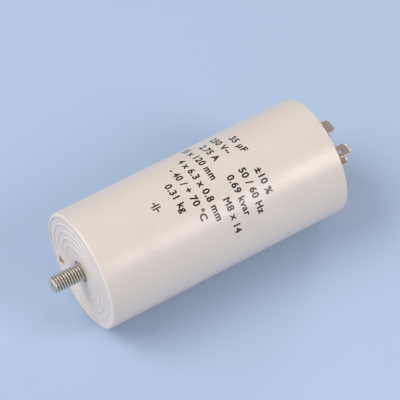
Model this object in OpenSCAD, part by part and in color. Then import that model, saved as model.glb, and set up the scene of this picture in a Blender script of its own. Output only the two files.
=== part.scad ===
// Motor run capacitor: a plastic can with a mounting stud at one end and push-on blades at the other.
// The can lies along X. The origin is where its axis meets the seating plane of the stud end.
// The stud points to -X and the blades point to +X. All sizes are in millimetres.

/* [Case] */
// Outer diameter of the can
case_d = 55; // [50:0.5:65]
// Length of the can from its seating rim to its mouth
case_len = 120; // [90:1:160]
// Thickness of the side wall
case_wall = 2; // [1.5:0.1:3]
// Thickness of the bottom, from the seating rim to the inside
bottom_t = 3; // [2.4:0.1:4]
// Rounding of the outer edge at the bottom
bottom_round = 1.2; // [0.4:0.1:1.5]
// Rounding of the outer edge at the mouth
mouth_round = 0.5; // [0.2:0.1:0.6]
// Width of the ledge inside the mouth that carries the lid
ledge_w = 0.8; // [0.4:0.1:0.9]

/* [Stud end face] */
// Width of the seating rim, with its rounding
rim_w = 1.6; // [1.6:0.1:2.5]
// Depth of the face below the rim, which is also the height of the ring beads
face_drop = 0.35; // [0.1:0.05:0.6]
// Number of ring beads
bead_count = 4; // [1:1:5]
// Distance from the rim to the outermost bead, and from bead to bead
bead_pitch = 3.4; // [2:0.1:3.6]
// Width of a bead where it leaves the face
bead_w = 1.1; // [0.6:0.1:1.8]

/* [Stud] */
// Diameter over the thread
stud_d = 8; // [6:0.5:10]
// Length that stands out past the seating rim
stud_len = 14; // [8:0.1:30]
// Chamfer at the tip
stud_chamfer = 0.5; // [0.3:0.1:1.4]
// Step from the thread out to the moulded-in collar
collar_step = 0.7; // [0.4:0.1:0.9]
// Gap around the stud in the relief at its base
relief_gap = 1; // [0.9:0.1:1.6]
// Depth of the relief below the face
relief_depth = 0.6; // [0.3:0.1:1]
// Plastic between the seating rim and the stud's head
stud_grip = 3.3; // [2.5:0.1:6]
// Width of the hexagon head across its flats
head_af = 13; // [11:0.5:17]
// Height of the head
head_h = 5.3; // [4:0.1:7]
// Plastic around and over the head
head_cover = 2; // [1.2:0.1:3]

/* [Lid] */
// Thickness of the lid
lid_t = 3; // [2:0.1:5]
// Depth of the lid's top below the mouth of the can
lid_drop = 1; // [0:0.1:3]
// Gap around the lid
lid_gap = 0.1; // [0.05:0.05:0.3]
// Height of the terminal island over the lid
island_h = 2.5; // [1:0.1:5]
// Margin of the island around the brackets
island_margin = 2.5; // [2:0.1:4]

/* [Terminals] */
// Width of a blade
blade_w = 6.3; // [4.8:0.1:9.5]
// Thickness of a blade
blade_t = 0.8; // [0.5:0.1:1.2]
// Length of the upper blade from the underside of its bracket to its tip
blade_len = 13.7; // [10:0.1:20]
// Difference in length between the upper blade and the lower one
blade_step = 0.9; // [0:0.1:2]
// Clear gap between the two blades of a bracket
blade_gap = 5.8; // [5.6:0.1:8]
// Inside radius of the folds
fold_r = 0.4; // [0.2:0.1:0.5]
// Rounding of a blade's tip corners
tip_round = 1.8; // [0.4:0.1:2]
// Diameter of the latch hole
latch_d = 1.7; // [1.2:0.1:2.2]
// Distance from the tip to the latch hole
latch_drop = 4.7; // [3:0.1:6]
// Distance between the two brackets
terminal_pitch = 14.1; // [12:0.1:18]
// Offset of the row's middle from the can's axis, along the row
row_shift = 0.7; // [-2:0.1:2]
// Turn of the row about the can's axis, in degrees
row_turn = 10; // [0:0.5:30]
// Turn of the left bracket from the level, in degrees
left_turn = 1.5; // [0:0.5:20]
// Turn of the right bracket from the level, in degrees
right_turn = 11; // [0:0.5:20]

/* [Rivets and tags] */
// Diameter of a rivet's shank
rivet_d = 3.5; // [2.5:0.1:4]
// Gap around a rivet in its holes
rivet_gap = 0.05; // [0.02:0.01:0.15]
// Diameter of a rivet's heads
rivet_head_d = 4.8; // [4.4:0.1:5]
// Height of a rivet's heads
rivet_head_h = 0.9; // [0.6:0.1:1.2]
// Thickness of a solder tag
tag_t = 0.5; // [0.3:0.1:0.8]
// Diameter of a tag around its rivet
tag_d = 6.4; // [5.5:0.1:8]
// Width of a tag's tongue
tongue_w = 3.4; // [2.6:0.1:4]
// Distance from the rivet to the wire hole in the tongue
tag_reach = 5; // [4.5:0.1:8]

/* [Winding] */
// Outer diameter of the core tube
core_d = 10; // [8:0.5:16]
// Bore of the core tube
core_bore = 6; // [4:0.5:7]
// Thickness of the sprayed metal on each end of the film roll
spray_t = 0.6; // [0.3:0.1:1.2]
// Thickness of the plain film around the roll
wrap_t = 0.4; // [0.2:0.1:1]
// Resin between the wrap and the case wall
resin_side = 1; // [0.5:0.1:3]
// Resin between the stud's boss and the roll
resin_below = 5.4; // [4:0.1:10]
// Resin over the roll
resin_above = 6; // [5:0.1:10]
// Gas space between the resin and the lid
headspace = 5; // [4:0.1:10]

/* [Leads] */
// Diameter of a wire
lead_d = 1.4; // [0.8:0.1:1.8]
// Radius of a wire's bends
lead_bend = 2; // [1.2:0.1:2.2]
// Distance from the axis to the long wire's root on the lower end of the roll
lead_root = 9; // [8.5:0.1:18]
// Gap around a wire in its sleeve and in a tag, and between its end and the lid
lead_gap = 0.05; // [0.02:0.01:0.1]
// Outer diameter of the insulating sleeve
sleeve_d = 2.8; // [2.4:0.1:3.6]
// Diameter of a solder drop on the roll
spray_drop_d = 4; // [3:0.1:5]
// Diameter of a solder drop on a tag
tag_drop_d = 3; // [2.4:0.1:3.2]

/* [Hidden] */
$fn = 96;
// Overrun of a cut past the surface that it opens
over = 1;

// Radii
case_r = case_d / 2;
bore_r = case_r - case_wall;
mouth_r = bore_r + ledge_w;
face_r = case_r - rim_w;
stud_r = stud_d / 2;
collar_r = stud_r + collar_step;
head_r = head_af / sqrt(3);
boss_r = head_r + head_cover;
wrap_r = bore_r - resin_side;
film_r = wrap_r - wrap_t;
core_r = core_d / 2;
lead_r = lead_d / 2;
// A bead is an arc that rises from the face to the rim's plane over half its width
bead_r = (face_drop * face_drop + bead_w * bead_w / 4) / (2 * face_drop);
// A rivet's head is a cap of a ball
cap_r = (rivet_head_h * rivet_head_h + rivet_head_d * rivet_head_d / 4) / (2 * rivet_head_h);

// Levels along the axis
relief_x = face_drop + relief_depth;
boss_x = stud_grip + head_h + head_cover;
lid_x = case_len - lid_drop - lid_t;
lid_top = case_len - lid_drop;
island_x = lid_top + island_h;
resin_x = lid_x - headspace;
roll_x0 = boss_x + resin_below;
roll_x1 = resin_x - resin_above;
// Middle of the long wire's run over the roll
run_x = roll_x1 + resin_above / 2;

// Sizes in the terminal row
bracket_w = blade_gap + 2 * blade_t;
rivet_hole_d = rivet_d + 2 * rivet_gap;
rivet_grip = tag_t + lid_t + island_h + blade_t;
wire_hole_d = lead_d + 2 * lead_gap;

PLASTIC_WHITE = "#DCD2C8";
ZINC = "#A9A79C";
TIN = "#A89A90";
FILM = "#C9CDD2";
CLEAR_FILM = "#D9D6C8";
SPRAY = "#8F9296";
COPPER_TINNED = "#B5A58E";
SLEEVE = "#D8C25A";
SOLDER = "#9EA3A8";
RESIN = "#B58A4A";

// Places along the terminal row. Side 1 is right, side -1 is left
function rivet_y(side) = row_shift + side * terminal_pitch / 2;
function wire_y(side) = rivet_y(side) + side * tag_reach;

// Turns a shape made along Z so that it stands along X
module along_x() {
    rotate([0, 90, 0]) children();
}

// A rod on the axis from x0 to x1
module rod(r, x0, x1) {
    translate([x0, 0, 0]) along_x() cylinder(r = r, h = x1 - x0);
}

// A tube on the axis from x0 to x1
module tube(r_out, r_in, x0, x1) {
    difference() {
        rod(r_out, x0, x1);
        rod(r_in, x0 - over, x1 + over);
    }
}

// Turns a shape into the terminal row, where Y runs along the row
module in_row() {
    rotate([row_turn, 0, 0]) children();
}

// Places a shape on one rivet's axis at height x
module at_rivet(side, x) {
    translate([x, 0, 0]) in_row() translate([0, rivet_y(side), 0]) children();
}

// Half section of the can without its cavities: radius along X, length along Y
module can_outline() {
    square([case_r - bottom_round, case_len / 2]);
    translate([case_r - bottom_round, bottom_round]) circle(bottom_round);
    translate([0, bottom_round]) square([case_r, case_len - bottom_round - mouth_round]);
    translate([case_r - mouth_round, case_len - mouth_round]) circle(mouth_round);
    translate([0, case_len / 2]) square([case_r - mouth_round, case_len / 2]);
}

// Half section of the can
module can_section() {
    difference() {
        can_outline();
        translate([0, bottom_t]) square([bore_r, case_len]);
        translate([0, lid_x]) square([mouth_r, case_len]);
        square([face_r, face_drop]);
    }
    translate([0, face_drop]) square([boss_r, boss_x - face_drop]);
    for (i = [1:bead_count])
        intersection() {
            translate([face_r - i * bead_pitch, bead_r]) circle(bead_r);
            square([face_r, bottom_t / 2]);
        }
}

// The hexagon head of the stud, or its seat in the boss
module stud_head() {
    translate([stud_grip, 0, 0]) along_x() cylinder(r = head_r, h = head_h, $fn = 6);
}

module case() {
    color(PLASTIC_WHITE)
    difference() {
        along_x() rotate_extrude() can_section();
        rod(stud_r + relief_gap, -over, relief_x);
        rod(collar_r, 0, stud_grip + head_h / 2);
        stud_head();
    }
}

module mounting_stud() {
    color(ZINC) {
        translate([-stud_len, 0, 0]) along_x()
            cylinder(r1 = stud_r - stud_chamfer, r2 = stud_r, h = stud_chamfer);
        rod(stud_r, stud_chamfer - stud_len, relief_x);
        rod(collar_r, relief_x, stud_grip);
        stud_head();
    }
}

// Outline of the terminal island: a slot with round ends along the row
module island_outline() {
    width = bracket_w + 2 * island_margin;
    translate([row_shift, 0]) square([terminal_pitch, width], center = true);
    for (side = [-1, 1])
        translate([rivet_y(side), 0]) circle(d = width);
}

module lid() {
    color(PLASTIC_WHITE)
    difference() {
        union() {
            rod(mouth_r - lid_gap, lid_x, lid_top);
            translate([lid_x, 0, 0]) in_row() rotate([90, 0, 90])
                linear_extrude(lid_t + island_h) island_outline();
        }
        for (side = [-1, 1])
            at_rivet(side, lid_x) rod(rivet_hole_d / 2, -over, lid_t + island_h + over);
    }
}

// A slot of width w with a rounded floor, open upwards: the inside or the outside of a folded U
module folded_outline(w, r, h) {
    translate([r - w / 2, 0]) square([w - 2 * r, h]);
    translate([-w / 2, r]) square([w, h - r]);
    for (side = [-1, 1])
        translate([side * (w / 2 - r), r]) circle(r);
}

// Front view of a blade of length h, with its round tip corners
module blade_outline(h) {
    translate([-blade_w / 2, 0]) square([blade_w, h - tip_round]);
    translate([tip_round - blade_w / 2, 0]) square([blade_w - 2 * tip_round, h]);
    for (side = [-1, 1])
        translate([side * (blade_w / 2 - tip_round), h - tip_round]) circle(tip_round);
}

// The space that a blade of length h takes up, seen from the front, over a depth of d
module blade_space(h, d) {
    rotate([180, 0, 90]) linear_extrude(d, center = true) blade_outline(h);
}

// A folded bracket with two blades, standing on its base along X
module bracket() {
    lower_len = blade_len - blade_step;
    difference() {
        intersection() {
            rotate([-90, -90, 0]) linear_extrude(blade_w, center = true)
                difference() {
                    folded_outline(bracket_w, fold_r + blade_t, blade_len);
                    translate([0, blade_t]) folded_outline(blade_gap, fold_r, blade_len);
                }
            union() {
                blade_space(lower_len, bracket_w + over);
                translate([0, 0, bracket_w / 2]) blade_space(blade_len, bracket_w);
            }
        }
        rod(rivet_hole_d / 2, -over, blade_t + over);
        translate([blade_len - latch_drop, 0, 0]) cylinder(d = latch_d, h = bracket_w);
        translate([lower_len - latch_drop, 0, -bracket_w]) cylinder(d = latch_d, h = bracket_w);
    }
}

module terminal_left() {
    color(TIN) at_rivet(-1, island_x) rotate([left_turn - row_turn, 0, 0]) bracket();
}

module terminal_right() {
    color(TIN) at_rivet(1, island_x) rotate([right_turn - row_turn, 0, 0]) bracket();
}

// A ball cap that stands on the plane at x = 0
module rivet_cap() {
    along_x() rotate_extrude() intersection() {
        translate([0, rivet_head_h - cap_r]) circle(cap_r);
        square([rivet_head_d / 2, rivet_head_h]);
    }
}

module rivet(side) {
    at_rivet(side, lid_x - tag_t) {
        rotate([0, 180, 0]) rivet_cap();
        rod(rivet_d / 2, 0, rivet_grip);
        translate([rivet_grip, 0, 0]) rivet_cap();
    }
}

module rivet_left() {
    color(TIN) rivet(-1);
}

module rivet_right() {
    color(TIN) rivet(1);
}

// A tag under the lid, with its tongue pointing away from the can's axis
module solder_tag(side) {
    at_rivet(side, lid_x - tag_t) rotate([90, 0, 90]) linear_extrude(tag_t) difference() {
        union() {
            circle(d = tag_d);
            translate([min(0, side * tag_reach), -tongue_w / 2]) square([tag_reach, tongue_w]);
            translate([side * tag_reach, 0]) circle(d = tongue_w);
        }
        circle(d = rivet_hole_d);
        translate([side * tag_reach, 0]) circle(d = wire_hole_d);
    }
}

module solder_tag_left() {
    color(TIN) solder_tag(-1);
}

module solder_tag_right() {
    color(TIN) solder_tag(1);
}

module winding_core() {
    color(PLASTIC_WHITE) tube(core_r, core_bore / 2, roll_x0, roll_x1);
}

module film_winding() {
    color(FILM) tube(film_r, core_r, roll_x0 + spray_t, roll_x1 - spray_t);
}

module outer_wrap() {
    color(CLEAR_FILM) tube(wrap_r, film_r, roll_x0, roll_x1);
}

module end_spray_lower() {
    color(SPRAY) tube(film_r, core_r, roll_x0, roll_x0 + spray_t);
}

module end_spray_upper() {
    color(SPRAY) tube(film_r, core_r, roll_x1 - spray_t, roll_x1);
}

// A quarter bend of wire about a point in the row's plane, from the given angle on
module wire_bend(x, y, from) {
    translate([x, y, 0]) rotate([0, 0, from]) rotate_extrude(angle = 90)
        translate([lead_bend, 0]) circle(lead_r);
}

// A straight wire along Y at height x
module wire_across(x, y0, y1) {
    translate([x, y0, 0]) rotate([-90, 0, 0]) cylinder(r = lead_r, h = y1 - y0);
}

// A straight wire along X at distance y from the axis
module wire_up(y, x0, x1) {
    translate([0, y, 0]) rod(lead_r, x0, x1);
}

// The long wire: from the lower spray to the axis, up through the core and out to the right tag
module long_wire() {
    in_row() {
        wire_bend(roll_x0, lead_root - lead_bend, 90);
        wire_across(roll_x0 - lead_bend, lead_bend, lead_root - lead_bend);
        wire_bend(roll_x0, lead_bend, 180);
        wire_up(0, roll_x0, run_x - lead_bend);
        wire_bend(run_x - lead_bend, lead_bend, 270);
        wire_across(run_x, lead_bend, wire_y(1) - lead_bend);
        wire_bend(run_x + lead_bend, wire_y(1) - lead_bend, 90);
        wire_up(wire_y(1), run_x + lead_bend, lid_x - lead_gap);
    }
}

// The short wire: from the upper spray straight up to the left tag
module short_wire() {
    translate([roll_x1, 0, 0]) in_row() wire_up(wire_y(-1), 0, lid_x - lead_gap - roll_x1);
}

module lead_long() {
    color(COPPER_TINNED) long_wire();
}

module lead_short() {
    color(COPPER_TINNED) short_wire();
}

module lead_sleeve() {
    color(SLEEVE) tube(sleeve_d / 2, lead_r + lead_gap, roll_x0, run_x - lead_bend);
}

// Half a ball of solder at distance y along the row. Way 1 stands towards +X, way -1 towards -X
module solder_drop(d, x, y, way) {
    translate([x, 0, 0]) in_row() translate([0, y, 0]) intersection() {
        sphere(d = d);
        translate([min(0, way * d), -d, -d]) cube([d, 2 * d, 2 * d]);
    }
}

// The two drops on the sprayed ends of the roll
module spray_drops() {
    solder_drop(spray_drop_d, roll_x0, lead_root, -1);
    solder_drop(spray_drop_d, roll_x1, wire_y(-1), 1);
}

module solder_joints() {
    color(SOLDER)
    difference() {
        union() {
            spray_drops();
            for (side = [-1, 1])
                solder_drop(tag_drop_d, lid_x - tag_t, wire_y(side), -1);
        }
        long_wire();
        short_wire();
    }
}

module potting_resin() {
    color(RESIN)
    difference() {
        rod(bore_r, bottom_t, resin_x);
        rod(boss_r, 0, boss_x);
        tube(wrap_r, core_bore / 2, roll_x0, roll_x1);
        rod(sleeve_d / 2, roll_x0, run_x - lead_bend);
        long_wire();
        short_wire();
        spray_drops();
    }
}

case();
mounting_stud();
lid();
terminal_left();
terminal_right();
rivet_left();
rivet_right();
solder_tag_left();
solder_tag_right();
winding_core();
film_winding();
outer_wrap();
end_spray_lower();
end_spray_upper();
lead_long();
lead_sleeve();
lead_short();
solder_joints();
potting_resin();
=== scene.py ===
"""Looks of a motor run capacitor: a white plastic can with a threaded stud and two double blade terminals.

Every piece is modelled in metres in the part's own frame. X runs along the can from its bottom to its
mouth, and the can lies on its side with Z up.
"""

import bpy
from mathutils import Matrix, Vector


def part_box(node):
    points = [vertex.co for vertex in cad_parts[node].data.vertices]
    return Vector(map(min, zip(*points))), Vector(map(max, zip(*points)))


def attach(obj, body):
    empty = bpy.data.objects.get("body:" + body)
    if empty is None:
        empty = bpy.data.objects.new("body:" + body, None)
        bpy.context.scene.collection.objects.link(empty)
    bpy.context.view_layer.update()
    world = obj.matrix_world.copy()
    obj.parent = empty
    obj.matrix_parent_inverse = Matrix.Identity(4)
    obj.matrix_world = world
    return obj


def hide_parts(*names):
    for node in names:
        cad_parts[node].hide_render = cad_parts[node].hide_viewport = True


bl_info = {
    "name": "Motor run capacitor",
    "version": (1, 0, 0),
    "blender": (4, 5, 0),
    "location": "View3D > Sidebar > Capacitor",
    "description": "Models the can, stud, lid, terminals and print of a motor run capacitor",
    "category": "Mesh",
}

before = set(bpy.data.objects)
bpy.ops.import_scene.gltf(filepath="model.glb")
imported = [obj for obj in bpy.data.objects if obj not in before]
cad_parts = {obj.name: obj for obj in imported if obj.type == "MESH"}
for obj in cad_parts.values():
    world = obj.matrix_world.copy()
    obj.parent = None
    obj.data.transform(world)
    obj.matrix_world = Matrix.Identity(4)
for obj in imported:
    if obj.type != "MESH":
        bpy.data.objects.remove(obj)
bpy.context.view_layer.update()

import math

import bmesh
import bpy
from bpy.props import FloatProperty, FloatVectorProperty, IntProperty, PointerProperty, StringProperty
from bpy.types import Operator, Panel, PropertyGroup
from mathutils import Matrix, Vector

BODY = "root"
SIDES = ("left", "right")
MM = 0.001
AXIS = Vector((1, 0, 0))
ORIGIN = Vector((0, 0, 0))

# Vertices closer than this are one, and vertices this close to a plane lie in it
WELD = 0.5e-6
IN_PLANE = 10 * WELD
# Edges that fold more than this stay sharp in the shading
SHARP_ANGLE = math.radians(40)
# Angle of the thread's flanks from a plane across the stud
FLANK_ANGLE = math.radians(30)
HEAD_CORNERS = 6
# Steps round the can, the lid, small pieces and holes
SHELL_STEPS = 256
LID_STEPS = 192
SMALL_STEPS = 96
HOLE_STEPS = 48
# Steps along an arc, across a soft edge and down into the cup of the stud's tip
ARC_STEPS = 10
SOFT_STEPS = 3
CUP_STEPS = 8

# Range of the noise over which the mottling goes from none to full
MOTTLE_RANGE = (0.3, 0.7)
# Where a ragged mark and its middle go from none to full, as shares of the mark's reach
MARK_RANGE = (1.1, 0.6)
MIDDLE_RANGE = (0.75, 0.35)
# Ripples of a ragged edge over the mark's reach
MARK_RIPPLES = 2.2
# A pattern stretched this far along X depends on Y and Z alone
FLATTEN = 1e6
# Smudges on the barrel: millimetres from the rim, degrees about the axis, reach in millimetres, strength
SMUDGES = ((29, 118.4, 0.7, 0.3), (26.6, 138.5, 1.5, 0.22))

# Two tone finishes of the rivets and of the solids inside the can: both tones, mottling and grain in
# millimetres, roughness, bump in millimetres, metallic share and stretch
PLAIN_FINISHES = {
    "rivet_metal": ((0.66, 0.63, 0.58), (0.5, 0.47, 0.43), 0.8, 0.1, (0.25, 0.4), 0.003, 1),
    "tinned_wire": ((0.62, 0.56, 0.48), (0.5, 0.44, 0.37), 1, 0.1, (0.25, 0.4), 0.003, 1),
    "zinc_spray": ((0.34, 0.35, 0.36), (0.2, 0.21, 0.22), 1.5, 0.3, (0.6, 0.8), 0.06, 1),
    "core_plastic": ((0.7, 0.7, 0.66), (0.62, 0.62, 0.58), 6, 0.4, (0.35, 0.45), 0.006),
    "metallised_film": ((0.6, 0.62, 0.65), (0.5, 0.52, 0.56), 20, 0.6, (0.2, 0.3), 0.01, 1, (60, 1, 1)),
    "clear_film": ((0.68, 0.66, 0.56), (0.6, 0.58, 0.48), 12, 0.5, (0.15, 0.25), 0.004),
    "sleeve_plastic": ((0.7, 0.54, 0.1), (0.6, 0.45, 0.07), 4, 0.3, (0.4, 0.5), 0.004),
    "solder": ((0.36, 0.38, 0.4), (0.28, 0.3, 0.32), 0.9, 0.15, (0.25, 0.45), 0.006, 1),
    "resin": ((0.47, 0.26, 0.07), (0.38, 0.2, 0.05), 7, 0.5, (0.2, 0.35), 0.006),
}
# Finish of each solid inside the can
INSIDE = {
    "solder_tag_left": "blade_tin",
    "solder_tag_right": "blade_tin",
    "winding_core": "core_plastic",
    "film_winding": "metallised_film",
    "outer_wrap": "clear_film",
    "end_spray_lower": "zinc_spray",
    "end_spray_upper": "zinc_spray",
    "lead_long": "tinned_wire",
    "lead_short": "tinned_wire",
    "lead_sleeve": "sleeve_plastic",
    "solder_joints": "solder",
    "potting_resin": "resin",
}
# Soft boxes that face the can: place and size in metres, power in watts and tint
LAMPS = {
    "key": ((-0.75, 0.42, 1.08), (1.0, 1.0), 13.2, (1, 0.98, 0.95)),
    "front_box": ((0.52, -0.69, 0.56), (0.42, 0.4), 4.1, (1, 0.94, 0.88)),
    "cool_fill": ((-0.95, -0.45, 0.22), (0.6, 0.4), 2.4, (0.86, 0.87, 1)),
    "edge_light": ((1.06, 0.68, 0.4), (0.34, 0.34), 2.4, (1, 1, 1)),
}

CASE_LOW, CASE_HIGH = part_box("case")
STUD_LOW, STUD_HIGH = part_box("mounting_stud")
LID_LOW, LID_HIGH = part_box("lid")
RIVET_LOW, RIVET_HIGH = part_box("rivet_left")
BRACKET_LOW, BRACKET_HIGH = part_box("terminal_left")


def rivet_centre(side):
    """Where a rivet's axis crosses the lid, as Y and Z."""
    low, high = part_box("rivet_" + side)
    return (low.y + high.y) / 2, (low.z + high.z) / 2


def length(name, description, millimetres):
    """A length that the user can set. It is written in millimetres and kept in metres."""
    return FloatProperty(
        name=name, description=description, default=millimetres * MM,
        subtype="DISTANCE", unit="LENGTH", precision=5,
    )


def angle(name, description, degrees):
    """An angle that the user can set. It is written in degrees and kept in radians."""
    return FloatProperty(
        name=name, description=description, default=math.radians(degrees), subtype="ANGLE", unit="ROTATION"
    )


def colour(name, description, red, green, blue):
    """A colour that the user can set, as linear values."""
    return FloatVectorProperty(
        name=name, description=description, default=(red, green, blue),
        subtype="COLOR", size=3, min=0, max=1,
    )


def share(name, description, value):
    """A plain number from 0 to 1 that the user can set."""
    return FloatProperty(name=name, description=description, default=value, subtype="FACTOR", min=0, max=1)


class CanSizes(PropertyGroup):
    """Sizes of the moulded can."""

    radius: length("Radius", "Outer radius of the can", CASE_HIGH.z / MM)
    height: length("Length", "Length from the seating rim to the mouth", CASE_HIGH.x / MM)
    wall: length("Wall", "Thickness of the barrel's wall", 2)
    bottom: length("Bottom", "Thickness of the can's bottom", 3)
    bottom_round: length("Bottom rounding", "Rounding of the bottom edge", 1.2)
    mouth_round: length("Mouth rounding", "Rounding of the mouth's outer edge", 0.5)
    ledge: length("Ledge", "Width of the lid's ledge", 0.8)
    rim: length("Rim", "Width of the seating rim", 1.6)
    face_drop: length("Face drop", "Depth of the bottom face below the rim", 0.35)
    bead_count: IntProperty(name="Beads", description="Number of ring beads on the bottom", default=4, min=0)
    bead_pitch: length("Bead pitch", "Distance from bead to bead", 3.4)
    bead_width: length("Bead width", "Width of a bead at its foot", 1.1)
    soft_edge: length("Soft edge", "Rounding of the small moulded edges", 0.12)


class StudSizes(PropertyGroup):
    """Sizes of the stud and of its seat in the can."""

    radius: length("Radius", "Radius over the thread", 4)
    reach: length("Reach", "Length that stands out past the rim", -STUD_LOW.x / MM)
    pitch: length("Thread pitch", "Advance of the thread in one turn", 1.25)
    crest: length("Crest", "Width of the thread's flat crest", 0.26)
    depth: length("Thread depth", "Depth of the thread's groove", 0.72)
    chamfer: length("Chamfer", "Chamfer at the tip", 0.5)
    cup: length("Cup", "Depth of the hollow in the tip's face", 0.5)
    collar_step: length("Collar step", "Step from the thread to the collar", 0.7)
    relief_gap: length("Relief gap", "Gap around the stud in the relief", 1)
    relief_depth: length("Relief depth", "Depth of the relief below the face", 0.6)
    grip: length("Grip", "Plastic between the rim and the head", 3.3)
    head_flats: length("Head", "Width of the hexagon head across its flats", 13)
    head_cover: length("Head cover", "Plastic around and over the head", 2)


class LidSizes(PropertyGroup):
    """Sizes of the lid that closes the can."""

    radius: length("Radius", "Radius of the lid", LID_HIGH.z / MM)
    thickness: length("Thickness", "Thickness of the lid", 3)
    island_margin: length("Island margin", "Margin of the island around the brackets", 2.5)
    edge: length("Edge", "Rounding of the lid's edge", 0.25)
    island_edge: length("Island edge", "Rounding of the island's top edge", 0.4)


class BladeSizes(PropertyGroup):
    """Sizes of a folded bracket with two blades."""

    width: length("Width", "Width of a blade", 6.3)
    thickness: length("Thickness", "Thickness of the sheet", 0.8)
    gap: length("Gap", "Clear gap between the two blades", 5.8)
    fold: length("Fold", "Inside radius of a fold", 0.4)
    step: length("Step", "How much shorter the lower blade is", 0.9)
    tip_round: length("Tip rounding", "Rounding of a blade's tip corners", 1.8)
    latch: length("Latch hole", "Diameter of the latch hole", 1.7)
    latch_drop: length("Latch drop", "Distance from the tip to the latch hole", 4.7)
    edge: length("Edge", "Rounding of the sheet's edges", 0.24)
    coin: length("Coined tip", "Length of the taper at a blade's tip", 0.9)
    coin_share: share("Coined thickness", "Share of the thickness left at the tip", 0.45)
    left_turn: angle("Left turn", "Turn of the left bracket from the level", 1.5)
    right_turn: angle("Right turn", "Turn of the right bracket from the level", 11)


class RivetSizes(PropertyGroup):
    """Sizes of the two rivets."""

    shank: length("Shank", "Diameter of the shank", 3.5)
    gap: length("Gap", "Gap around the shank", 0.05)
    head: length("Head", "Diameter of the heads", 4.8)
    head_height: length("Head height", "Height of the heads", 0.9)


class PrintSizes(PropertyGroup):
    """Plain rating print on the barrel."""

    rows: StringProperty(
        name="Rows",
        description="Rows from the mouth towards the bottom, with bars between",
        default="|".join((
            "35 µF      ±10 %",
            "250 V~      50 / 60 Hz",
            "2.75 A      0.69 kvar",
            "55 x 120 mm      M8 x 14",
            "4 x 6.3 x 0.8 mm",
            "- 40 / + 70 °C",
            "0.31 kg",
        )),
    )
    letter: length("Letter", "Size of the letters", 4.5)
    spacing: FloatProperty(name="Spacing", description="Spacing of the letters", default=1.12, min=0.5)
    weight: length("Letter weight", "Width that the ink adds round each letter", 0.17)
    first_row: length("First row", "Distance of the first row's line from the rim", 82)
    pitch: length("Row pitch", "Distance from row to row", 6.4)
    middle: angle("Middle", "Angle of the rows' middle about the axis", 102)
    ink: length("Ink", "Height of the ink over the plastic", 0.02)
    facet: length("Facet", "Width of the strips round the barrel", 0.6)
    sign_row: length("Sign", "Distance of the sign from the rim", 35)
    sign_size: length("Sign size", "Width of the capacitor sign", 5)
    sign_plate: length("Sign plate", "Length of the two plates in the sign", 4)
    sign_stroke: length("Sign stroke", "Width of the sign's lines", 0.6)


class Finishes(PropertyGroup):
    """Colours and marks of the surfaces, with painted highlights and painted shade among them."""

    plastic: colour("Plastic", "White plastic of the can and the lid", 0.72, 0.64, 0.575)
    plastic_shade: colour("Plastic shade", "Slightly darker tone in the plastic", 0.7, 0.62, 0.555)
    # Painted highlight on the rim, the ring beads and the mouth's edge: its colour and its strength on each
    highlight_tint: colour("Rubbed plastic", "Lighter plastic on the rim, beads and mouth", 0.82, 0.745, 0.685)
    bead_highlight: share("Rubbed beads", "How far the ring beads are rubbed", 0.25)
    rim_highlight: share("Rubbed rim", "How far the rounded rim is rubbed", 0.5)
    mouth_highlight: share("Rubbed mouth", "How far the mouth's edge is rubbed", 0.7)
    smudge: colour("Smudge", "Faint smudges on the barrel", 0.5, 0.46, 0.4)
    rust: colour("Rust mark", "Orange part of the mark on the bottom face", 0.72, 0.42, 0.22)
    rust_core: colour("Rust core", "Brown middle of that mark", 0.28, 0.12, 0.05)
    rust_angle: angle("Rust angle", "Angle of the mark about the axis", 327)
    rust_radius: length("Rust radius", "Distance of the mark from the axis", 20.6)
    rust_width: length("Rust width", "Half width of the mark towards the axis", 3.1)
    rust_length: length("Rust length", "Half length of the mark round the axis", 2.6)
    # Painted shade in and around the stud's relief and on the stud inside its seat: its colour, how far it
    # covers the plastic and how metallic the stud stays under it
    seat_shade: colour("Grime", "Grey dirt around the base of the stud", 0.5, 0.44, 0.38)
    seat_shade_level: share("Grime level", "How far the dirt covers the plastic", 0.3)
    seat_shade_metal: share("Grime metal", "How metallic the stud is under the dirt", 0.2)
    zinc: colour("Zinc", "Crests of the zinc plated thread", 0.77, 0.72, 0.635)
    # Painted shade in the thread's grooves and the tip's cup, and its least share in a groove
    groove_shade: colour("Zinc groove", "Dull grooves of the thread", 0.15, 0.13, 0.105)
    groove_shade_evenness: share("Zinc evenness", "Least share of the dull tone in a groove", 0.75)
    tin: colour("Tin", "Tin plating of the blades", 0.69, 0.58, 0.51)
    tin_dull: colour("Dull tin", "Duller patches of the tin plating", 0.53, 0.43, 0.37)
    ink: colour("Ink", "Ink of the print", 0.006, 0.005, 0.005)
    ink_thin: colour("Thin ink", "Places where the ink is thin", 0.022, 0.019, 0.018)


class StageSettings(PropertyGroup):
    """Camera, lights and floor."""

    aim_along: length("Aim along", "Distance of the camera's aim from the rim", 62.8)
    aim_across: length("Aim across", "Sideways offset of the camera's aim", 3.29)
    aim_up: length("Aim up", "Height of the camera's aim over the axis", 3.36)
    azimuth: angle("Azimuth", "Direction that the camera looks from", -32.494)
    elevation: angle("Elevation", "Height of the camera over the horizon", 51.709)
    distance: length("Distance", "Distance of the camera from its aim", 985.9)
    focal: FloatProperty(
        name="Lens", description="Focal length on a 36 mm sensor", default=203.3, unit="CAMERA"
    )
    floor_radius: length("Floor", "Radius of the floor", 4000)
    floor: colour("Floor", "Colour of the floor", 0.42, 0.53, 0.72)
    floor_roughness: share("Floor roughness", "Roughness of the floor", 0.8)
    world: colour("Sky", "Colour of the light from all round", 0.93, 0.96, 1)
    world_level: share("Sky level", "Level of the light from all round", 0.4)


def verts_in(geom):
    """The vertices among what a bmesh operator made."""
    return [item for item in geom if isinstance(item, bmesh.types.BMVert)]


def edges_of(verts):
    """The edges that run between some vertices."""
    chosen = set(verts)
    return [e for e in {e for v in verts for e in v.link_edges} if chosen.issuperset(e.verts)]


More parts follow.
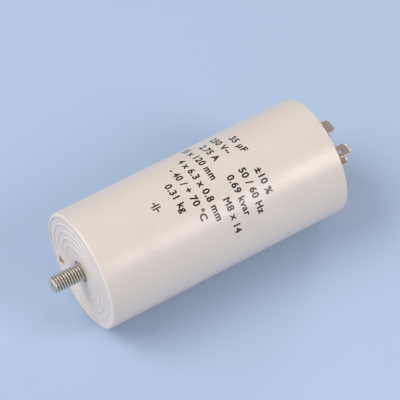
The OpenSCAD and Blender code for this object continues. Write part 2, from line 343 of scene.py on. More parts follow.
def round_off(bm, geom, rounding, affect, segments=SOFT_STEPS):
    """Rounds some corners, as VERTICES, or some edges, as EDGES."""
    bmesh.ops.bevel(
        bm, geom=geom, offset=rounding, offset_type="OFFSET", segments=segments,
        profile=0.5, affect=affect, material=-1,
    )


def slice_at(bm, x, **side):
    """Cuts everything at a plane across X, and drops what lies on one side if that is asked for."""
    everything = bm.verts[:] + bm.edges[:] + bm.faces[:]
    bmesh.ops.bisect_plane(bm, geom=everything, dist=WELD, plane_co=(x, 0, 0), plane_no=AXIS, **side)


def spin_round(bm, steps, **options):
    """Turns everything drawn so far once round the can's axis."""
    drawn = bm.verts[:] + bm.edges[:]
    bmesh.ops.spin(bm, geom=drawn, cent=ORIGIN, axis=AXIS, angle=math.tau, steps=steps, **options)


def ring_at(bm, x, radius, segments, y=0, z=0):
    """Draws a circle of edges round a line along X and returns its edges."""
    place = Matrix.Translation((x, y, z)) @ Matrix.Rotation(math.pi / 2, 4, "Y")
    made = bmesh.ops.create_circle(bm, cap_ends=False, segments=segments, radius=radius, matrix=place)
    return edges_of(made["verts"])


def draw_out(bm, edges, x):
    """Extrudes a loop of edges along X to a plane and returns the new loop."""
    verts = verts_in(bmesh.ops.extrude_edge_only(bm, edges=edges)["geom"])
    for vert in verts:
        vert.co.x = x
    return edges_of(verts)


def cap(bm, *loops, normal=AXIS):
    """Fills the flat area between loops of edges in a plane."""
    edges = [edge for loop in loops for edge in loop]
    bmesh.ops.triangle_fill(bm, use_beauty=True, use_dissolve=False, edges=edges, normal=normal)


class Pen:
    """Draws an outline stroke by stroke in the half plane of X and radius, with the radius along Z."""

    def __init__(self, bm, x, radius):
        self.bm = bm
        self.tip = bm.verts.new((x, 0, radius))
        self.soft = []

    def line(self, x, radius, soft=False):
        """Draws a straight stroke. A soft corner at its end is rounded by finish."""
        vert = self.bm.verts.new((x, 0, radius))
        self.bm.edges.new((self.tip, vert))
        self.tip = vert
        if soft:
            self.soft.append(vert)

    def arc(self, x, radius, turn):
        """Draws an arc about a centre. A positive turn goes from the radius towards X."""
        made = bmesh.ops.spin(
            self.bm, geom=[self.tip], cent=(x, 0, radius), axis=(0, 1, 0), angle=turn, steps=ARC_STEPS
        )
        self.tip = verts_in(made["geom_last"])[0]

    def finish(self, rounding):
        """Rounds the soft corners."""
        round_off(self.bm, self.soft, rounding, "VERTICES")


def add_piece(bm, name, material, node=None):
    """Makes a bmesh a smooth shaded piece that rides on the part and may stand for one of its solids."""
    bmesh.ops.remove_doubles(bm, verts=bm.verts, dist=WELD)
    bmesh.ops.recalc_face_normals(bm, faces=bm.faces)
    mesh = bpy.data.meshes.new(name)
    bm.to_mesh(mesh)
    bm.free()
    mesh.shade_smooth()
    mesh.set_sharp_from_angle(angle=SHARP_ANGLE)
    mesh.materials.append(material)
    made = bpy.data.objects.new(name, mesh)
    bpy.context.scene.collection.objects.link(made)
    made.modifiers.new("Weighted normals", "WEIGHTED_NORMAL").keep_sharp = True
    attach(made, BODY)
    if node:
        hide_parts(node)


def feed(tree, value, target):
    """Gives a socket its value, which is another socket, a number, a vector or a colour."""
    if isinstance(value, bpy.types.NodeSocket):
        tree.links.new(target, value)
    elif target.type == "RGBA":
        target.default_value = (*value, 1)
    else:
        target.default_value = value


def add_node(tree, kind, *values, **settings):
    """Adds a shader node with its settings and the values of its first inputs."""
    node = tree.nodes.new("ShaderNode" + kind)
    for name, setting in settings.items():
        setattr(node, name, setting)
    for socket, value in zip(node.inputs, values):
        feed(tree, value, socket)
    return node


def math_node(tree, operation, first, second):
    """Adds a Math node. Each input is a socket or a number."""
    return add_node(tree, "Math", first, second, operation=operation).outputs["Value"]


def vector_length(tree, vector):
    """Adds a Vector Math node that gives a vector's length."""
    return add_node(tree, "VectorMath", vector, operation="LENGTH").outputs["Value"]


def span(tree, value, low, high, to_low=0.0, to_high=1.0):
    """Adds a smooth Map Range node."""
    ranges = (low, high, to_low, to_high)
    return add_node(tree, "MapRange", value, *ranges, interpolation_type="SMOOTHSTEP").outputs["Result"]


def placed(tree, vector, location=(0, 0, 0), rotation=(0, 0, 0), size=(1, 1, 1)):
    """Adds a Mapping node that moves a pattern to a place, turns it and gives it a size."""
    node = add_node(tree, "Mapping", vector, location, rotation, size, vector_type="TEXTURE")
    return node.outputs["Vector"]


def noise(tree, vector, scale, detail):
    """Adds a Noise Texture. The scale is a socket or a number of features to the unit."""
    node = add_node(tree, "TexNoise", vector)
    feed(tree, scale, node.inputs["Scale"])
    feed(tree, detail, node.inputs["Detail"])
    return node.outputs["Fac"]


def blend(tree, mask, first, second):
    """Mixes two colours by a mask. Each colour is a socket or a colour."""
    node = add_node(tree, "Mix", mask, data_type="RGBA")
    for socket, value in zip([s for s in node.inputs if s.type == "RGBA"], (first, second)):
        feed(tree, value, socket)
    return next(s for s in node.outputs if s.type == "RGBA")


def new_group(name, inputs, outputs):
    """Starts a node group of a vector and numbers, and returns its tree, what it is given and its result."""
    tree = bpy.data.node_groups.new(name, "ShaderNodeTree")
    tree.interface.new_socket(name="Vector", in_out="INPUT", socket_type="NodeSocketVector")
    for label in inputs:
        tree.interface.new_socket(name=label, in_out="INPUT", socket_type="NodeSocketFloat")
    for label in outputs:
        tree.interface.new_socket(name=label, in_out="OUTPUT", socket_type="NodeSocketFloat")
    return tree, tree.nodes.new("NodeGroupInput").outputs, tree.nodes.new("NodeGroupOutput").inputs


def surface_grain_group():
    """Cloudy mottling and fine grain, which every finish uses at its own scale."""
    known = bpy.data.node_groups.get("Surface grain")
    if known:
        return known
    tree, given, result = new_group("Surface grain", ("Mottle scale", "Grain scale"), ("Mottle", "Grain"))
    clouds = noise(tree, given["Vector"], given["Mottle scale"], detail=4)
    feed(tree, span(tree, clouds, *MOTTLE_RANGE), result["Mottle"])
    feed(tree, noise(tree, given["Vector"], given["Grain scale"], detail=3), result["Grain"])
    return tree


def ragged_mark_group():
    """A mark with a ragged edge that fills a unit ball, with a mask for all of it and one for its middle."""
    known = bpy.data.node_groups.get("Ragged mark")
    if known:
        return known
    tree, given, result = new_group("Ragged mark", ("Raggedness",), ("Mask", "Middle"))
    ripple = math_node(tree, "SUBTRACT", noise(tree, given["Vector"], MARK_RIPPLES, detail=6), 0.5)
    ragged = math_node(tree, "MULTIPLY", ripple, given["Raggedness"])
    edge = math_node(tree, "ADD", vector_length(tree, given["Vector"]), ragged)
    feed(tree, span(tree, edge, *MARK_RANGE), result["Mask"])
    feed(tree, span(tree, edge, *MIDDLE_RANGE), result["Middle"])
    return tree


def start_finish(name, mottle_mm, grain_mm, metallic=0.0, stretch=(1, 1, 1)):
    """Starts a material and returns it with its tree, shader, Object coordinates and grain."""
    made = bpy.data.materials.new(name)
    made.use_nodes = True
    tree = made.node_tree
    shader = tree.nodes["Principled BSDF"]
    shader.inputs["Metallic"].default_value = metallic
    where = add_node(tree, "TexCoord").outputs["Object"]
    scales = (1 / (mottle_mm * MM), 1 / (grain_mm * MM))
    vector = placed(tree, where, size=stretch)
    grain = add_node(tree, "Group", vector, *scales, node_tree=surface_grain_group()).outputs
    return made, tree, shader, where, grain


def finish_surface(tree, shader, paint, grain, roughness, bump_mm):
    """Gives a shader its colour, a roughness that follows the mottling and a bump from the grain."""
    feed(tree, paint, shader.inputs["Base Color"])
    feed(tree, span(tree, grain["Mottle"], 0, 1, *roughness), shader.inputs["Roughness"])
    bump = add_node(tree, "Bump")
    bump.inputs["Distance"].default_value = bump_mm * MM
    feed(tree, grain["Grain"], bump.inputs["Height"])
    feed(tree, bump.outputs["Normal"], shader.inputs["Normal"])


def radius_of(tree, where):
    """Distance of a point from the can's axis."""
    return vector_length(tree, placed(tree, where, size=(FLATTEN, 1, 1)))


def depth_of(tree, where):
    """Distance of a point along the can's axis."""
    return add_node(tree, "SeparateXYZ", where).outputs["X"]


def ragged_mark(tree, where, along, radius, turn, spread, raggedness):
    """Places a ragged mark on the can. It reaches along X, outwards and round the axis."""
    spot = (along, radius * math.cos(turn), radius * math.sin(turn))
    vector = placed(tree, where, spot, (turn, 0, 0), spread)
    return add_node(tree, "Group", vector, raggedness, node_tree=ragged_mark_group()).outputs


def painted_edge_highlights(tree, where, can, finish):
    """Mask of the painted highlight on the rounded rim, the ring beads and the mouth's edge."""
    along = depth_of(tree, where)
    rounding, lip = can.bottom_round, can.height - can.mouth_round
    beads = span(tree, along, can.face_drop * 0.75, can.face_drop * 0.25, 0, finish.bead_highlight)
    outer = span(tree, radius_of(tree, where), can.radius - rounding * 1.3, can.radius - rounding * 0.9)
    front = span(tree, along, rounding * 0.7, rounding * 0.3, 0, finish.rim_highlight)
    rim = math_node(tree, "MULTIPLY", outer, front)
    mouth = span(tree, along, lip, lip + can.mouth_round * 0.4, 0, finish.mouth_highlight)
    return math_node(tree, "MAXIMUM", math_node(tree, "MAXIMUM", beads, rim), mouth)


def painted_seat_shade(tree, where, can, stud, finish):
    """Mask of the painted shade on the bottom face in and around the stud's relief."""
    relief = stud.radius + stud.relief_gap
    shade_fades, shade_full = relief * 1.18, relief * 0.98
    near = span(tree, radius_of(tree, where), shade_fades, shade_full, 0, finish.seat_shade_level)
    outside = span(tree, depth_of(tree, where), can.bottom, can.face_drop)
    return math_node(tree, "MULTIPLY", near, outside)


def can_plastic(can, stud, finish):
    """White moulded plastic with painted highlights on its edges, a rust mark, faint smudges and painted
    shade around the stud.
    """
    made, tree, shader, where, grain = start_finish("can_plastic", 14, 0.35)
    paint = blend(tree, grain["Mottle"], finish.plastic, finish.plastic_shade)
    # Painted highlight on the rounded rim, the ring beads and the mouth's edge
    paint = blend(tree, painted_edge_highlights(tree, where, can, finish), paint, finish.highlight_tint)
    for along, degrees, reach, strength in SMUDGES:
        spread = (reach * MM, reach * MM, reach * MM / 2)
        turn = math.radians(degrees)
        mark = ragged_mark(tree, where, along * MM, can.radius, turn, spread, raggedness=0.8)
        paint = blend(tree, math_node(tree, "MULTIPLY", mark["Mask"], strength), paint, finish.smudge)
    spread = (can.rim, finish.rust_width, finish.rust_length)
    mark = ragged_mark(
        tree, where, can.face_drop, finish.rust_radius, finish.rust_angle, spread, raggedness=1.2
    )
    paint = blend(tree, mark["Mask"], paint, finish.rust)
    paint = blend(tree, mark["Middle"], paint, finish.rust_core)
    # Painted shade in and around the stud's relief
    paint = blend(tree, painted_seat_shade(tree, where, can, stud, finish), paint, finish.seat_shade)
    finish_surface(tree, shader, paint, grain, roughness=(0.3, 0.36), bump_mm=0.004)
    return made


def stud_zinc(can, stud, finish):
    """Zinc plate with painted shade in the thread's grooves, deepening into the tip's cup, and painted shade
    on the seat.
    """
    made, tree, shader, where, grain = start_finish("stud_zinc", 1.6, 0.12, metallic=1)
    along = depth_of(tree, where)
    # Painted shade in the thread's grooves, deepening into the cup of the tip
    flank, root = stud.radius - stud.depth * 0.55, stud.radius - stud.depth * 0.98
    groove = span(tree, radius_of(tree, where), flank, root)
    tone = math_node(tree, "MULTIPLY", groove, span(tree, grain["Mottle"], 0, 1, finish.groove_shade_evenness, 1))
    past_tip = span(tree, along, -stud.reach, stud.cup + stud.chamfer - stud.reach)
    paint = blend(tree, math_node(tree, "MULTIPLY", tone, past_tip), finish.zinc, finish.groove_shade)
    # Painted shade on the stud inside its seat, where the stud is also less metallic
    seat = (-can.face_drop, can.face_drop)
    paint = blend(tree, span(tree, along, *seat), paint, finish.seat_shade)
    feed(tree, span(tree, along, *seat, 1, finish.seat_shade_metal), shader.inputs["Metallic"])
    finish_surface(tree, shader, paint, grain, roughness=(0.34, 0.46), bump_mm=0.004)
    return made


def two_tone(name, first, second, mottle_mm, grain_mm, roughness, bump_mm, metallic=0.0, stretch=(1, 1, 1)):
    """A finish of two tones that follow the mottling."""
    made, tree, shader, _, grain = start_finish(name, mottle_mm, grain_mm, metallic, stretch)
    paint = blend(tree, grain["Mottle"], first, second)
    finish_surface(tree, shader, paint, grain, roughness, bump_mm)
    return made


def lid_plastic(finish):
    """The can's plastic, with a slightly coarser moulded surface."""
    return two_tone(
        "lid_plastic", finish.plastic, finish.plastic_shade, mottle_mm=9, grain_mm=0.5,
        roughness=(0.38, 0.46), bump_mm=0.008,
    )


def blade_tin(finish):
    """Tin plate with streaks along the blades and duller patches."""
    return two_tone(
        "blade_tin", finish.tin, finish.tin_dull, mottle_mm=1.2, grain_mm=0.1,
        roughness=(0.36, 0.48), bump_mm=0.003, metallic=1, stretch=(6, 1, 1),
    )


def print_ink(finish):
    """Black glossy ink that is thinner in places."""
    return two_tone(
        "print_ink", finish.ink, finish.ink_thin, mottle_mm=1.1, grain_mm=0.2,
        roughness=(0.28, 0.34), bump_mm=0.002,
    )


def head_corner(stud):
    """Distance of the hexagon head's corners from the axis."""
    return stud.head_flats / math.sqrt(3)


class CAPACITOR_OT_can(Operator):
    """Models the moulded can with its rim, ring beads, stud seat, mouth and bore"""

    bl_idname = "capacitor.can"
    bl_label = "Can"

    def execute(self, context):
        can = context.scene.capacitor_can
        stud = context.scene.capacitor_stud
        bm = bmesh.new()
        self.draw_section(bm, can, stud)
        spin_round(bm, SHELL_STEPS, use_merge=True)
        plastic = can_plastic(can, stud, context.scene.capacitor_finishes)
        add_piece(bm, "can_shell", plastic, "case")
        return {"FINISHED"}

    def draw_section(self, bm, can, stud):
        """Draws the can's half section, from the stud's head out to the rim and round to the boss."""
        pocket = stud.radius + stud.relief_gap
        collar = stud.radius + stud.collar_step
        boss = head_corner(stud) + stud.head_cover
        pen = Pen(bm, STUD_HIGH.x, 0)
        pen.line(STUD_HIGH.x, head_corner(stud))
        pen.line(stud.grip, head_corner(stud))
        pen.line(stud.grip, collar)
        pen.line(can.face_drop + stud.relief_depth, collar)
        pen.line(can.face_drop + stud.relief_depth, pocket)
        pen.line(can.face_drop, pocket, soft=True)
        self.draw_bottom(pen, can)
        self.draw_barrel(pen, can)
        pen.line(can.bottom, boss)
        pen.line(STUD_HIGH.x + stud.head_cover, boss)
        pen.line(STUD_HIGH.x + stud.head_cover, 0)
        pen.finish(can.soft_edge)

    def draw_bottom(self, pen, can):
        """Draws the bottom face with its ring beads, and the seating rim."""
        face = can.radius - can.rim
        half = can.bead_width / 2
        bead_radius = (can.face_drop ** 2 + half ** 2) / (2 * can.face_drop)
        for number in range(can.bead_count, 0, -1):
            middle = face - number * can.bead_pitch
            pen.line(can.face_drop, middle - half)
            pen.arc(bead_radius, middle, 2 * math.asin(half / bead_radius))
        pen.line(can.face_drop, face)
        pen.line(0, face, soft=True)
        pen.line(0, can.radius - can.bottom_round)
        pen.arc(can.bottom_round, can.radius - can.bottom_round, math.pi / 2)

    def draw_barrel(self, pen, can):
        """Draws the barrel, the mouth with the lid's ledge, and the bore down to the bottom."""
        bore = can.radius - can.wall
        pen.line(can.height - can.mouth_round, can.radius)
        pen.arc(can.height - can.mouth_round, can.radius - can.mouth_round, math.pi / 2)
        pen.line(can.height, bore + can.ledge, soft=True)
        pen.line(LID_LOW.x, bore + can.ledge)
        pen.line(LID_LOW.x, bore)
        pen.line(can.bottom, bore)


class CAPACITOR_OT_stud(Operator):
    """Models the stud with its thread, cupped tip, collar and hexagon head"""

    bl_idname = "capacitor.stud"
    bl_label = "Stud"

    def execute(self, context):
        can = context.scene.capacitor_can
        stud = context.scene.capacitor_stud
        seat = can.face_drop + stud.relief_depth
        bm = bmesh.new()
        self.cut_thread(bm, stud, seat)
        self.shape_tip(bm, stud)
        self.add_head(bm, stud, seat)
        zinc = stud_zinc(can, stud, context.scene.capacitor_finishes)
        add_piece(bm, "threaded_stud", zinc, "mounting_stud")
        return {"FINISHED"}

    def cut_thread(self, bm, stud, seat):
        """Winds one turn of the thread, repeats it along the axis and trims both ends."""
        root = stud.radius - stud.depth
        flank = stud.depth * math.tan(FLANK_ANGLE)
        valley = (stud.pitch - stud.crest - 2 * flank) / 2
        start = -stud.reach - stud.pitch
        pen = Pen(bm, start, root)
        pen.line(start + valley, root, soft=True)
        pen.line(start + valley + flank, stud.radius, soft=True)
        pen.line(start + valley + flank + stud.crest, stud.radius, soft=True)
        pen.line(start + stud.pitch - valley, root, soft=True)
        pen.line(start + stud.pitch, root)
        pen.finish(stud.crest / 4)
        bmesh.ops.subdivide_edges(bm, edges=bm.edges[:], cuts=1)
        spin_round(bm, SMALL_STEPS, dvec=AXIS * stud.pitch / SMALL_STEPS)
        turn = bm.verts[:] + bm.edges[:] + bm.faces[:]
        for number in range(1, math.ceil((seat - start) / stud.pitch) + 1):
            repeat = verts_in(bmesh.ops.duplicate(bm, geom=turn)["geom"])
            bmesh.ops.translate(bm, verts=repeat, vec=AXIS * stud.pitch * number)
        bmesh.ops.remove_doubles(bm, verts=bm.verts, dist=WELD)
        slice_at(bm, -stud.reach, clear_inner=True)
        slice_at(bm, seat, clear_outer=True)

    def shape_tip(self, bm, stud):
        """Turns the chamfer onto the thread's end and closes it with a cupped face."""
        for vert in bm.verts:
            limit = stud.radius - stud.chamfer + (vert.co.x + stud.reach)
            reach = math.hypot(vert.co.y, vert.co.z)
            if reach > limit:
                vert.co.yz = vert.co.yz * (limit / reach)
        face = bmesh.ops.edgeloop_fill(bm, edges=self.open_loop(bm, -stud.reach))["faces"]
        bmesh.ops.inset_region(bm, faces=face, thickness=stud.chamfer / 2, depth=0)
        for step in range(CUP_STEPS, 1, -1):
            narrower = (step - 1) / step
            deeper = (step ** 2 - (step - 1) ** 2) / CUP_STEPS ** 2
            bmesh.ops.inset_region(bm, faces=face, thickness=0, depth=0)
            bmesh.ops.scale(bm, verts=face[0].verts, vec=(1, narrower, narrower))
            bmesh.ops.translate(bm, verts=face[0].verts, vec=AXIS * stud.cup * deeper)

    def open_loop(self, bm, x):
        """The open edges of the thread in a plane across the axis."""
        return [e for e in bm.edges if e.is_boundary and all(abs(v.co.x - x) < IN_PLANE for v in e.verts)]

    def add_head(self, bm, stud, seat):
        """Closes the thread with the collar and the hexagon head that the can is moulded around."""
        collar = ring_at(bm, seat, stud.radius + stud.collar_step, SMALL_STEPS)
        cap(bm, self.open_loop(bm, seat), collar)
        under_head = draw_out(bm, collar, stud.grip)
        hexagon = ring_at(bm, stud.grip, head_corner(stud), HEAD_CORNERS)
        cap(bm, under_head, hexagon)
        bmesh.ops.edgeloop_fill(bm, edges=draw_out(bm, hexagon, STUD_HIGH.x))


class CAPACITOR_OT_lid(Operator):
    """Models the lid with its terminal island and rivet holes"""

    bl_idname = "capacitor.lid"
    bl_label = "Lid"

    def execute(self, context):
        lid = context.scene.capacitor_lid
        blade = context.scene.capacitor_blades
        rivet = context.scene.capacitor_rivets
        top = LID_LOW.x + lid.thickness
        hole = rivet.shank / 2 + rivet.gap
        bm = bmesh.new()
        edge = ring_at(bm, top, lid.radius, LID_STEPS)
        foot = self.island_outline(bm, top, blade.gap / 2 + blade.thickness + lid.island_margin)
        cap(bm, edge, foot)
        brow = draw_out(bm, foot, LID_HIGH.x)
        upper_holes = [ring_at(bm, LID_HIGH.x, hole, HOLE_STEPS, *rivet_centre(side)) for side in SIDES]
        cap(bm, brow, *upper_holes)
        underside = draw_out(bm, edge, LID_LOW.x)
        lower_holes = [draw_out(bm, ring, LID_LOW.x) for ring in upper_holes]
        cap(bm, underside, *lower_holes)
        round_off(bm, brow, lid.island_edge, "EDGES")
        round_off(bm, edge, lid.edge, "EDGES")
        plastic = lid_plastic(context.scene.capacitor_finishes)
        add_piece(bm, "lid_disc", plastic, "lid")
        return {"FINISHED"}

    def island_outline(self, bm, x, radius):
        """Draws the island's slot: a circle whose two halves stand apart at the two rivets."""
        ends = {side: Vector((0, *rivet_centre(side))) for side in SIDES}
        along = (ends["right"] - ends["left"]).normalized()
        edges = ring_at(bm, x, radius, SMALL_STEPS)
        verts = list({v for e in edges for v in e.verts})
        turn = Matrix.Rotation(math.atan2(along.z, along.y) + math.pi / SMALL_STEPS, 3, "X")
        bmesh.ops.rotate(bm, verts=verts, cent=ORIGIN, matrix=turn)
        for side, sign in zip(SIDES, (-1, 1)):
            half = [v for v in verts if v.co.dot(along) * sign > 0]
            bmesh.ops.translate(bm, verts=half, vec=ends[side])
        return edges


class CAPACITOR_OT_brackets(Operator):
    """Models the two folded brackets, each with two blades"""

    bl_idname = "capacitor.brackets"
    bl_label = "Brackets"

    def execute(self, context):
        blade = context.scene.capacitor_blades
        tin = blade_tin(context.scene.capacitor_finishes)
        for side, turn in zip(SIDES, (blade.left_turn, blade.right_turn)):
            bm = bmesh.new()
            self.cut_sheet(bm, blade, context.scene.capacitor_rivets)
            self.coin_tips(bm, blade)
            self.fold_sheet(bm, blade)
            bmesh.ops.rotate(bm, verts=bm.verts, cent=ORIGIN, matrix=Matrix.Rotation(turn, 3, "X"))
            bmesh.ops.translate(bm, verts=bm.verts, vec=(BRACKET_LOW.x, *rivet_centre(side)))
            add_piece(bm, "bracket_" + side, tin, "terminal_" + side)
        return {"FINISHED"}

    def bends(self, blade):
        """Where a bend starts and ends along the flat sheet, and the radius of its middle layer there."""
        start = blade.gap / 2 - blade.fold
        middle = blade.fold + blade.thickness / 2
        return start, start + middle * math.pi / 2, middle

    def cut_sheet(self, bm, blade, rivet):
        """Cuts the flat sheet with its round corners and holes, and rounds its edges."""
        _, bend_end, _ = self.bends(blade)
        tall = BRACKET_HIGH.x - BRACKET_LOW.x
        upper_tip = bend_end + tall - blade.fold - blade.thickness
        lower_tip = blade.step - upper_tip
        middle = (upper_tip + lower_tip) / 2
        outline = Matrix.Diagonal((upper_tip - middle, blade.width / 2, 1, 1))
        outline.translation.x = middle
        bmesh.ops.create_grid(bm, x_segments=1, y_segments=1, size=1, matrix=outline)
        round_off(bm, bm.verts[:], blade.tip_round, "VERTICES", ARC_STEPS)
        bmesh.ops.delete(bm, geom=bm.faces[:], context="FACES_ONLY")
        holes = [
            (0, rivet.shank / 2 + rivet.gap),
            (upper_tip - blade.latch_drop, blade.latch / 2),
            (lower_tip + blade.latch_drop, blade.latch / 2),
        ]
        for along, radius in holes:
            place = Matrix.Translation((along, 0, 0))
            bmesh.ops.create_circle(bm, cap_ends=False, segments=HOLE_STEPS, radius=radius, matrix=place)
        cap(bm, bm.edges[:], normal=(0, 0, 1))
        upper = verts_in(bmesh.ops.extrude_face_region(bm, geom=bm.faces[:])["geom"])
        bmesh.ops.translate(bm, verts=upper, vec=(0, 0, blade.thickness))
        bmesh.ops.recalc_face_normals(bm, faces=bm.faces)
        sharp = [e for e in bm.edges if e.calc_face_angle(0) > SHARP_ANGLE]
        round_off(bm, sharp, blade.edge, "EDGES")

    def coin_tips(self, bm, blade):
        """Tapers the sheet towards both tips, so that a connector slides on."""
        middle = blade.thickness / 2
        tips = [side(v.co.x for v in bm.verts) for side in (min, max)]
        for tip in tips:
            for reach in (blade.coin, blade.coin - blade.edge / 2):
                slice_at(bm, tip - math.copysign(reach, tip))
            for vert in bm.verts:
                taper = 1 - abs(tip - vert.co.x) / blade.coin
                if taper > 0:
                    vert.co.z = middle + (vert.co.z - middle) * (1 - taper * (1 - blade.coin_share))

    def fold_sheet(self, bm, blade):
        """Folds the flat sheet up at its two bends. Its underside becomes the bracket's outside."""
        start, end, middle = self.bends(blade)
        for step in range(ARC_STEPS + 1):
            along = start + (end - start) * step / ARC_STEPS
            for sign in (-1, 1):
                slice_at(bm, sign * along)
        outside = blade.fold + blade.thickness
        for vert in bm.verts:
            along, across, layer = vert.co
            bent = min(max(abs(along) - start, 0), end - start) / middle
            radius = outside - layer
            height = outside - radius * math.cos(bent) + max(abs(along) - end, 0)
            spread = min(abs(along), start) + radius * math.sin(bent)
            vert.co = (height, across, math.copysign(spread, along))


class CAPACITOR_OT_rivets(Operator):
    """Models the two rivets with their round heads"""

    bl_idname = "capacitor.rivets"
    bl_label = "Rivets"

    def execute(self, context):
        rivet = context.scene.capacitor_rivets
        metal = two_tone("rivet_metal", *PLAIN_FINISHES["rivet_metal"])
        half = rivet.head / 2
        ball = (rivet.head_height ** 2 + half ** 2) / (2 * rivet.head_height)
        turn = math.asin(half / ball)
        for side in SIDES:
            bm = bmesh.new()
            pen = Pen(bm, RIVET_LOW.x, 0)
            pen.arc(RIVET_LOW.x + ball, 0, turn)
            pen.line(RIVET_LOW.x + rivet.head_height, rivet.shank / 2)
            pen.line(RIVET_HIGH.x - rivet.head_height, rivet.shank / 2)
            pen.line(RIVET_HIGH.x - rivet.head_height, half)
            pen.arc(RIVET_HIGH.x - ball, 0, turn)
            spin_round(bm, SMALL_STEPS, use_merge=True)
            bmesh.ops.translate(bm, verts=bm.verts, vec=(0, *rivet_centre(side)))
            add_piece(bm, "round_rivet_" + side, metal, "rivet_" + side)
        return {"FINISHED"}


class CAPACITOR_OT_print(Operator):
    """Prints plain rating rows and a capacitor sign on the barrel"""

    bl_idname = "capacitor.print"
    bl_label = "Print"

    def execute(self, context):
        sizes = context.scene.capacitor_print
        sheet = bmesh.new()
        for number, words in enumerate(sizes.rows.split("|")):
            self.set_row(sheet, words, sizes, -number * sizes.pitch)
        self.draw_sign(sheet, sizes)
        self.wrap(sheet, sizes, context.scene.capacitor_can.radius)
        add_piece(sheet, "rating_print", print_ink(context.scene.capacitor_finishes))
        return {"FINISHED"}

    def set_row(self, sheet, words, sizes, height):
        """Sets one row of print flat, with its middle over the sheet's middle."""
        curve = bpy.data.curves.new("print_row", "FONT")
        curve.body = words
        curve.size = sizes.letter
        curve.space_character = sizes.spacing
        curve.align_x = "CENTER"
        curve.bevel_depth = sizes.weight
        curve.bevel_resolution = 0
        row = bpy.data.objects.new("print_row", curve)
        bpy.context.scene.collection.objects.link(row)
        shape = row.evaluated_get(bpy.context.evaluated_depsgraph_get())
        mesh = bpy.data.meshes.new_from_object(shape)
        flatten = Matrix.Diagonal((1, 1, sizes.ink / sizes.weight, 1))
        mesh.transform(Matrix.Translation((0, height, 0)) @ flatten)
        sheet.from_mesh(mesh)
        bpy.data.objects.remove(row)
        bpy.data.curves.remove(curve)
        bpy.data.meshes.remove(mesh)

    def draw_sign(self, sheet, sizes):
        """Draws two plates and two wires as flat strokes beside each other."""
        row = sizes.sign_row - sizes.first_row
        stroke = sizes.sign_stroke
        wire_start, wire_end = stroke * 1.5, sizes.sign_size / 2
        plate = (stroke, stroke, sizes.sign_plate)
        wire = ((wire_start + wire_end) / 2, wire_end - wire_start, stroke)
        for across, wide, tall in (plate, wire):
            for sign in (-1, 1):
                size = Matrix.Diagonal((wide, tall, 2 * sizes.ink, 1))
                place = Matrix.Translation((sign * across, row, 0))
                bmesh.ops.create_cube(sheet, size=1, matrix=place @ size)

    def wrap(self, sheet, sizes, radius):
        """Cuts the flat print into narrow strips and wraps it round the barrel."""
        half_width = max(abs(v.co.x) for v in sheet.verts)
        strips = math.ceil(half_width / sizes.facet)
        for number in range(-strips, strips + 1):
            slice_at(sheet, number * sizes.facet)
        for vert in sheet.verts:
            across, up, layer = vert.co
            turn = sizes.middle + across / radius
            reach = radius + layer
            vert.co = (sizes.first_row + up, reach * math.cos(turn), reach * math.sin(turn))


class CAPACITOR_OT_inside(Operator):
    """Gives the solids inside the can their finishes"""

    bl_idname = "capacitor.inside"
    bl_label = "Inside"

    def execute(self, context):
        known = {"blade_tin": blade_tin(context.scene.capacitor_finishes)}
        for node, name in INSIDE.items():
            if name not in known:
                known[name] = two_tone(name, *PLAIN_FINISHES[name])
            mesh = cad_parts[node].data
            mesh.materials.clear()
            mesh.materials.append(known[name])
        return {"FINISHED"}


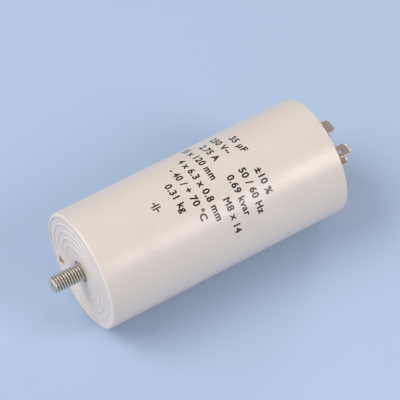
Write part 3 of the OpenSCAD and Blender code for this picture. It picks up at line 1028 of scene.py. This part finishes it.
class CAPACITOR_OT_stage(Operator):
    """Sets up the floor, the lights and the camera"""

    bl_idname = "capacitor.stage"
    bl_label = "Stage"

    def execute(self, context):
        stage = context.scene.capacitor_stage
        context.scene.view_settings.view_transform = "Standard"
        aim = Vector((stage.aim_along, stage.aim_across, stage.aim_up))
        self.lay_floor(context.scene, stage)
        self.light_world(context.scene, stage)
        for name, lamp in LAMPS.items():
            self.hang_light(context.scene, aim, name, *lamp)
        self.place_camera(context.scene, aim, stage)
        return {"FINISHED"}

    def lay_floor(self, scene, stage):
        """Lays a plain round floor under the can."""
        made = bpy.data.materials.new("floor")
        made.use_nodes = True
        shader = made.node_tree.nodes["Principled BSDF"]
        shader.inputs["Base Color"].default_value = (*stage.floor, 1)
        shader.inputs["Roughness"].default_value = stage.floor_roughness
        bm = bmesh.new()
        place = Matrix.Translation((0, 0, CASE_LOW.z))
        bmesh.ops.create_circle(
            bm, cap_ends=True, segments=SMALL_STEPS, radius=stage.floor_radius, matrix=place
        )
        mesh = bpy.data.meshes.new("floor")
        bm.to_mesh(mesh)
        bm.free()
        mesh.materials.append(made)
        floor = bpy.data.objects.new("floor", mesh)
        scene.collection.objects.link(floor)

    def light_world(self, scene, stage):
        """Lights the scene evenly from all round."""
        world = bpy.data.worlds.new("studio")
        world.use_nodes = True
        sky = world.node_tree.nodes["Background"]
        sky.inputs["Color"].default_value = (*stage.world, 1)
        sky.inputs["Strength"].default_value = stage.world_level
        scene.world = world

    def hang_light(self, scene, aim, name, place, size, watts, tint):
        """Hangs a soft box that faces the can."""
        lamp = bpy.data.lights.new(name, "AREA")
        lamp.shape = "RECTANGLE"
        lamp.size, lamp.size_y = size
        lamp.energy = watts
        lamp.color = tint
        made = bpy.data.objects.new(name, lamp)
        made.location = place
        made.rotation_euler = (aim - made.location).to_track_quat("-Z", "Y").to_euler()
        scene.collection.objects.link(made)

    def place_camera(self, scene, aim, stage):
        """Places the camera on its bearing and aims it at the can."""
        level = math.cos(stage.elevation)
        back = Vector((
            math.sin(stage.azimuth) * level, -math.cos(stage.azimuth) * level, math.sin(stage.elevation)
        ))
        lens = bpy.data.cameras.new("camera")
        lens.lens = stage.focal
        camera = bpy.data.objects.new("camera", lens)
        camera.location = aim + back * stage.distance
        camera.rotation_euler = (-back).to_track_quat("-Z", "Y").to_euler()
        scene.collection.objects.link(camera)
        scene.camera = camera


GROUPS = {
    "capacitor_can": CanSizes,
    "capacitor_stud": StudSizes,
    "capacitor_lid": LidSizes,
    "capacitor_blades": BladeSizes,
    "capacitor_rivets": RivetSizes,
    "capacitor_print": PrintSizes,
    "capacitor_finishes": Finishes,
    "capacitor_stage": StageSettings,
}
OPERATORS = (
    CAPACITOR_OT_can,
    CAPACITOR_OT_stud,
    CAPACITOR_OT_lid,
    CAPACITOR_OT_brackets,
    CAPACITOR_OT_rivets,
    CAPACITOR_OT_print,
    CAPACITOR_OT_inside,
    CAPACITOR_OT_stage,
)


class CAPACITOR_PT_sidebar(Panel):
    """Lists the operators, the sizes and the finishes"""

    bl_idname = "CAPACITOR_PT_sidebar"
    bl_label = "Motor run capacitor"
    bl_space_type = "VIEW_3D"
    bl_region_type = "UI"
    bl_category = "Capacitor"

    def draw(self, context):
        for operator in OPERATORS:
            self.layout.operator(operator.bl_idname)
        for name in GROUPS:
            settings = getattr(context.scene, name)
            box = self.layout.box()
            for label in settings.__annotations__:
                box.prop(settings, label)


CLASSES = (*GROUPS.values(), *OPERATORS, CAPACITOR_PT_sidebar)


def register():
    """Registers the settings, the operators and the panel."""
    for item in CLASSES:
        bpy.utils.register_class(item)
    for name, group in GROUPS.items():
        setattr(bpy.types.Scene, name, PointerProperty(type=group))


def unregister():
    """Removes the settings, the panel and the operators."""
    for name in GROUPS:
        delattr(bpy.types.Scene, name)
    for item in reversed(CLASSES):
        bpy.utils.unregister_class(item)


def main():
    """Builds every piece and the stage."""
    register()
    bpy.ops.capacitor.can()
    bpy.ops.capacitor.stud()
    bpy.ops.capacitor.lid()
    bpy.ops.capacitor.brackets()
    bpy.ops.capacitor.rivets()
    bpy.ops.capacitor.print()
    bpy.ops.capacitor.inside()
    bpy.ops.capacitor.stage()


if __name__ == "__main__":
    main()
